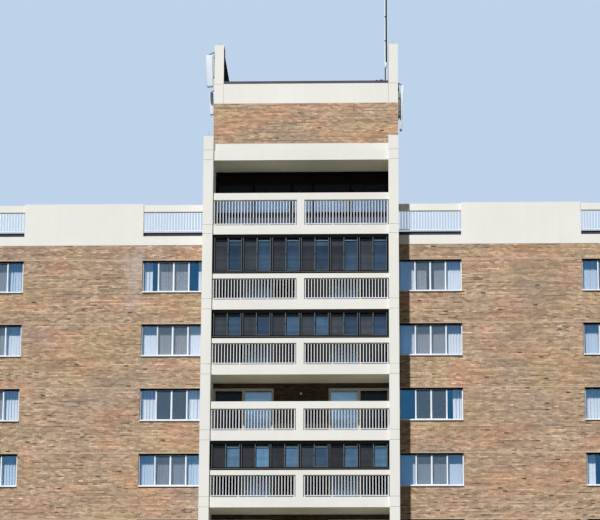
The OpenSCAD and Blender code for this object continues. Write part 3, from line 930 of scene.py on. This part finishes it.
def make_enclosure_sashes(finish):
    """Thin sashes of the balcony enclosures, their tracks and their latches."""
    units = 6
    frame_bar = 0.052
    sill = 0.062
    head = 0.076
    bar = 0.011
    bar_ahead = (0.010, 0.066)
    face_ahead = (0.060, 0.066)
    meeting = 0.020
    meeting_face = 0.014
    rail_ahead = (0.012, 0.054)
    top_gap = 0.008
    top_under = (0.024, 0.052)
    top_ahead = (0.010, 0.018)
    latch = (0.008, 0.040)
    latch_ahead = (0.066, 0.069)
    track = (0.030, 0.040)
    sashes, meetings, tops, latches = (Solids() for _ in range(4))
    for glass in openings("enclosure_glass"):
        low = glass.z[0] + sill
        high = glass.z[1] - head
        for x0, x1 in glass.spans(units, frame_bar):
            for x in (x0 - bar * 0.6, x1 + bar * 0.6):
                glass.plate(sashes, around(x, bar / 2), (low, high), bar_ahead)
            middle = (x0 + x1) / 2
            leaf = (middle + meeting / 2, x1)
            glass.plate(meetings, around(middle, meeting_face / 2), (low, high), face_ahead)
            glass.plate(sashes, leaf, (low, low + bar), rail_ahead)
            if glass.storey in BRIGHT_TOP_STOREYS:
                z = [high - distance for distance in top_under]
                glass.plate(tops, inside(leaf, top_gap), z, top_ahead)
            glass.plate(latches, around(middle, latch[0] / 2),
                        around((low + high) / 2, latch[1] / 2), latch_ahead)
        glass.plate(sashes, glass.x, [glass.z[0] + up for up in track], face_ahead)
    sashes.piece("enclosure_sashes", finish["sash_anodised"], "grey_frame")
    meetings.piece("enclosure_meetings", finish["sash_pale_anodised"], "grey_frame")
    tops.piece("sash_top_rails", finish["sash_top_anodised"], "grey_frame")
    latches.piece("enclosure_latches", finish["rubber"], "bronze_frame")


def make_door_leaves(finish):
    """Leaf rims, pulls and thresholds of the sliding doors."""
    frame_bar = 0.034
    rim = 0.012
    leaves_ahead = [(0.004, 0.018), (0.020, 0.034)]
    post_heights = (0.42, 0.50)
    post_ahead = (0.030, 0.056)
    post_radius = 0.004
    pull_heights = (0.40, 0.52)
    pull_radius = 0.006
    threshold = 0.012
    threshold_ahead = (0.050, 0.070)
    leaves, pulls = Solids(), Solids()
    for door in openings("sliding_door_glass"):
        foot = door.z[0]
        spans = door.spans(len(leaves_ahead), frame_bar)
        for x, ahead in zip(spans, leaves_ahead):
            door.rim(leaves, x, inside(door.z, frame_bar), ahead, rim)
        x = spans[1][0] + rim / 2
        near, far = (door.ahead(distance) for distance in post_ahead)
        for up in post_heights:
            pulls.rod((x, near, foot + up), (x, far, foot + up), post_radius)
        low, high = (foot + up for up in pull_heights)
        pulls.rod((x, far, low), (x, far, high), pull_radius)
        door.plate(leaves, door.x, (foot, foot + threshold), threshold_ahead)
    leaves.piece("door_leaves", finish["grey_anodised"], "grey_frame")
    pulls.piece("door_pulls", finish["galvanised"], "galvanised_metal", smooth=True)


def make_wall_lights(finish):
    """Wall lights beside the balcony doors: a glass body on a back plate, with a cap and a foot."""
    cap = 0.008
    foot = 0.006
    # Heights in shares of the light's width, and widths in the same shares
    body = [(0.06, 0.45), (0.12, 0.62), (0.45, 0.72), (0.80, 0.66), (0.86, 0.5)]
    body_reach = 0.58
    plates, bodies = Solids(), Solids()
    for low, high in separate_solids("balcony_lights"):
        out, _, wall = facing(low, high)
        x = (low[0] + high[0]) / 2
        width = high[0] - low[0]
        bottom, top = low[2], high[2]
        for share, reach, z in ((0.8, 0.15, (bottom, top)), (0.7, 0.98, (top - cap, top)),
                                (0.3, 0.75, (bottom, bottom + foot))):
            plates.box(around(x, width / 2 * share), (wall, wall + out * width * reach), z)
        rings = [(up * width, size) for up, size in body]
        bodies.turned((x, wall + out * width * body_reach), bottom, rings, width / 2,
                      sides=10, squash=0.7)
    plates.piece("light_plates", finish["bronze_paint"], "bronze_frame", bevel=0.0015)
    glass = bodies.piece("light_bodies", finish["lamp_glass"], "white_frame", smooth=True)
    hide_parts("balcony_lights")


def wall_strip(solids, wall, out, x, z):
    """Strip of a joint in a wall that faces out."""
    solids.box(x, (wall - out * JOINT_DEPTH, wall + out * JOINT_PROUD), z)


def make_brick_joints(finish):
    """Sealant joints at the window jambs beside brick, and pale course lines over the windows."""
    upright, level = Solids(), Solids()
    windows = openings("window_glass")
    heads = sorted({window.z[1] for window in windows})
    jambs = {(window.x[0] - SEALANT_WIDTH, window.x[0]) for window in windows}
    jambs |= {(window.x[1], window.x[1] + SEALANT_WIDTH) for window in windows}
    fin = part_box("front_fin_walls")[1][0]
    free_jambs = sorted(x for x in jambs if min(abs(x[0]), abs(x[1])) > fin)
    for node in ("front_brick_piers", "rear_brick_piers"):
        low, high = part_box(node)
        out, wall, _ = facing(low, high)
        for x in free_jambs:
            wall_strip(upright, wall, out, x, (0.0, high[2]))
        for head in heads:
            for x in ((low[0], -fin), (fin, high[0])):
                wall_strip(level, wall, out, x, [head + up for up in COURSE_LINE])
    upright.piece("brick_joints", finish["sealant"], "facing_brick")
    level.piece("course_lines", finish["pale_joint"], "facing_brick")


def make_concrete_joints(finish):
    """Upright joints between the plant house band and the ends of its side parapets."""
    joints = Solids()
    low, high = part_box("plant_house_band")
    for wall, out in ((low[1], -1), (high[1], 1)):
        for x in (low[0], high[0]):
            wall_strip(joints, wall, out, around(x, CONCRETE_JOINT / 2), (low[2], high[2]))
    joints.piece("concrete_joints", finish["sealant"], "painted_concrete")


def rounded(width, depth, radius, steps=3):
    """Anticlockwise outline in plan of a rectangle with round corners, centred on the origin."""
    points = []
    for turn in range(4):
        corner_x = (width / 2 - radius) * (1 if turn in (0, 3) else -1)
        corner_y = (depth / 2 - radius) * (1 if turn < 2 else -1)
        for step in range(steps + 1):
            angle = math.radians(90 * (turn + step / steps))
            points.append((corner_x + radius * math.cos(angle),
                           corner_y + radius * math.sin(angle)))
    return points


def both_ends(length, end):
    """Rings of a solid with equal ends, from the (height, share) rings of its lower end."""
    return end + [(length - up, size) for up, size in reversed(end)]


class Aerial:
    """A panel aerial beside the plant house that leans away from its pole."""

    def __init__(self, side, size, foot, back):
        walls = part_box("plant_house_walls")
        self.side = side
        self.width, self.depth, self.height = size
        self.x = side * walls[1][0]
        self.y = walls[0][1] + back
        self.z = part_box("lounge_roof")[1][2] + foot

    def place(self, across, along, up):
        """Point of the leaning panel, from the middle of its inner edge at the foot."""
        lean = math.radians(AERIAL_LEAN)
        reach = AERIAL_GAP + across * math.cos(lean) + up * math.sin(lean)
        rise = up * math.cos(lean) - across * math.sin(lean)
        return (self.x + self.side * reach, self.y + along, self.z + rise)

    def radome(self, solids):
        """Panel with round corners that narrows at its end caps."""
        cap = 0.012
        end = [(0, 0.86), (cap, 0.94), (2 * cap, 1.0)]
        corner = 0.22 * min(self.width, self.depth)
        outline = rounded(self.width, self.depth, corner)[::self.side]
        solids.loft([[self.place(self.width / 2 + a * size, b * size, up) for a, b in outline]
                     for up, size in both_ends(self.height, end)])

    def sockets(self, solids):
        """Two cable sockets under the panel."""
        length = 0.022
        radius = 0.007
        for share in (0.3, 0.7):
            x, y, z = self.place(share * self.width, 0, 0)
            solids.rod((x, y, z), (x, y, z - length), radius)

    def pole(self, poles, fittings):
        """Pole behind the panel, with an arm over it and two brackets on the wall."""
        arm_radius = 0.009
        clamp_radius = POLE_RADIUS + 0.004
        x = self.x + self.side * AERIAL_GAP / 2
        y = self.y
        top = self.z + self.height + POLE_RISE
        poles.rod((x, y, self.z + 0.25 * self.height), (x, y, top), POLE_RADIUS)
        fittings.rod((x, y, top), self.place(0.7 * self.width, 0, self.height), arm_radius)
        for share in AERIAL_BRACKETS:
            level = self.z + share * self.height
            arm = (self.x, self.x + self.side * AERIAL_GAP)
            plate = (self.x, self.x + self.side * 0.005)
            low, high = around(level, 0.022)
            fittings.box(arm, around(y, 0.014), around(level, 0.010))
            fittings.rod((x, y, low), (x, y, high), clamp_radius)
            fittings.box(plate, around(y, 0.026), around(level, 0.024))

    def pipe(self, poles, fittings):
        """Short upright pipe beside the panel, with a cap at its foot and two straps."""
        length = 0.565
        end = [(0, 0.3), (0.008, 0.75), (0.022, 1.0)]
        under_bracket = 0.038
        cap = (-0.006, 0.03)
        strap_height = 0.02
        x = self.x + self.side * AERIAL_GAP
        y = self.y - self.depth / 2 - AERIAL_GAP
        z = self.z + AERIAL_BRACKETS[0] * self.height - under_bracket
        poles.turned((x, y), z, both_ends(length, end), PIPE_RADIUS)
        fittings.rod((x, y, z + cap[0]), (x, y, z + cap[1]), PIPE_RADIUS * 1.08)
        for up in (0.10, 0.40):
            low, high = z + up, z + up + strap_height
            fittings.box((self.x, x), around(y, 0.010), (low, high))
            fittings.rod((x, y, low), (x, y, high), PIPE_RADIUS * 1.12)


def make_aerials(finish):
    """Panel aerials: radomes with end caps and cable sockets, on poles with clamps and arms."""
    radomes, fittings, poles = (Solids() for _ in range(3))
    for values in AERIALS:
        aerial = Aerial(*values)
        aerial.radome(radomes)
        aerial.sockets(fittings)
        aerial.pole(poles, fittings)
        if aerial.side > 0:
            aerial.pipe(poles, fittings)
    panels = radomes.piece("aerial_radomes", finish["radome"], "white_frame", smooth=True)
    fittings.piece("aerial_fittings", finish["rubber"], "bronze_frame", smooth=True)
    poles.piece("aerial_poles", finish["pipe_paint"], "galvanised_metal", smooth=True)
    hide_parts("aerial_panels")


def make_mast(finish):
    """Whip mast: a pale tube and a dark pole, a coupling, bands, a foot plate and two boxes."""
    foot_height = 0.36
    coupling = [(-0.06, 0.70), (-0.05, 0.95), (0.05, 1.0), (0.065, 0.90)]
    bands = (0.55, 1.1)
    band_height = 0.014
    low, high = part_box("antenna_mast")
    x, y, _ = (low + high) / 2
    radius = (high[0] - low[0]) / 2
    foot = low[2]
    joint = foot + foot_height
    pale, dark = Solids(), Solids()
    for solids, side in ((pale, -1), (dark, 1)):
        for share, start, end in ((side * 0.5, joint, high[2]), (-side * 0.4, foot, joint)):
            tube_x = x + share * radius
            solids.rod((tube_x, y, start), (tube_x, y, end), abs(share) * radius, sides=12)
    pale.turned((x, y), joint, coupling, radius)
    for up in bands:
        band_foot = joint + up
        dark.rod((x, y, band_foot), (x, y, band_foot + band_height), radius, sides=16)
    dark.box(around(x, 0.045), around(y, 0.035), (foot, foot + 0.012))
    for left, right, rise in ((0.13, 0.06, 0.034), (0.22, 0.17, 0.026)):
        dark.box((x - left, x - right), around(y, 0.03), (foot, foot + rise))
    tube = pale.piece("mast_tube", finish["white_paint"], "galvanised_metal", smooth=True)
    dark.piece("mast_pole", finish["bronze_paint"], "galvanised_metal", smooth=True)
    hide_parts("antenna_mast")


def make_parapet_shade_linings(finish):
    """Near-black felt on the inner faces of the plant house's side parapets: painted shade."""
    thickness = 0.006
    gap = 0.020
    end_wall = 0.16
    felt = Solids()
    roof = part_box("plant_house_roof")[1][2]
    band_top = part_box("plant_house_band")[1][2]
    for low, high in separate_solids("plant_house_fins"):
        x = (low[0] - thickness, low[0]) if low[0] > 0 else (high[0], high[0] + thickness)
        end = high[1] - gap
        step = high[2] - PARAPET_TIP_HEIGHT - gap
        felt.box(x, (-end, end), (band_top, step))
        felt.box(x, around(0, low[1] + end_wall), (roof, band_top))
        for out in (-1, 1):
            tip = (out * end, out * (end - PARAPET_TIP_DEPTH + 2 * gap))
            felt.box(x, tip, (step, high[2] - gap))
    felt.piece("parapet_shade_linings", finish["bitumen_felt"], "roof_concrete")


def make_roof_upstands(finish):
    """Dark felt turned up behind each parapet railing."""
    behind = (0.030, 0.050)
    rise = 0.105
    felt = Solids()
    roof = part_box("roof_slab")[1][2]
    for low, high in separate_solids("parapet_railings"):
        out, _, back = facing(low, high)
        felt.box((low[0], high[0]), [back - out * distance for distance in behind],
                 (roof, roof + rise))
    felt.piece("roof_upstands", finish["roof_felt"], "roof_concrete", bevel=0.004)


def make_finishes():
    """All materials by their names."""
    return dict([
        painted_concrete(), painted_concrete("felted_concrete", FELT), facing_brick(),
        # The second brick finish, at 0.14 of the brightness, is painted shade
        facing_brick("painted_shade_brick", 0.14), plaster(), roofing(), galvanised(),
        *(coated_metal(*coat) for coat in COATS), *(moulded(*moulding) for moulding in MOULDINGS),
        woven("screen_mesh", SCREEN_TINT, alpha=0.25),
        *(woven("blind_" + tone, colour) for tone, colour in BLIND_TONES.items()),
        glazing("window_glass", WINDOW_SKY_TINT, 0.13), enclosure_glazing(), door_glazing(),
        lounge_glazing(),
    ])


def main():
    scene.view_settings.view_transform = "Standard"
    make_camera()
    make_lamp("key", KEY_AZIMUTH, KEY_ELEVATION, KEY_STRENGTH, KEY_SOFTNESS)
    make_lamp("fill", FILL_AZIMUTH, FILL_ELEVATION, FILL_STRENGTH, FILL_SOFTNESS)
    make_world()
    make_floor()
    finish = make_finishes()
    dress_nodes(finish)
    for make in (
        make_window_gaskets, make_insect_screens, make_blinds, make_enclosure_sashes,
        make_door_leaves, make_wall_lights, make_brick_joints, make_concrete_joints,
        make_roof_upstands, make_parapet_shade_linings, make_aerials, make_mast,
    ):
        make(finish)


main()
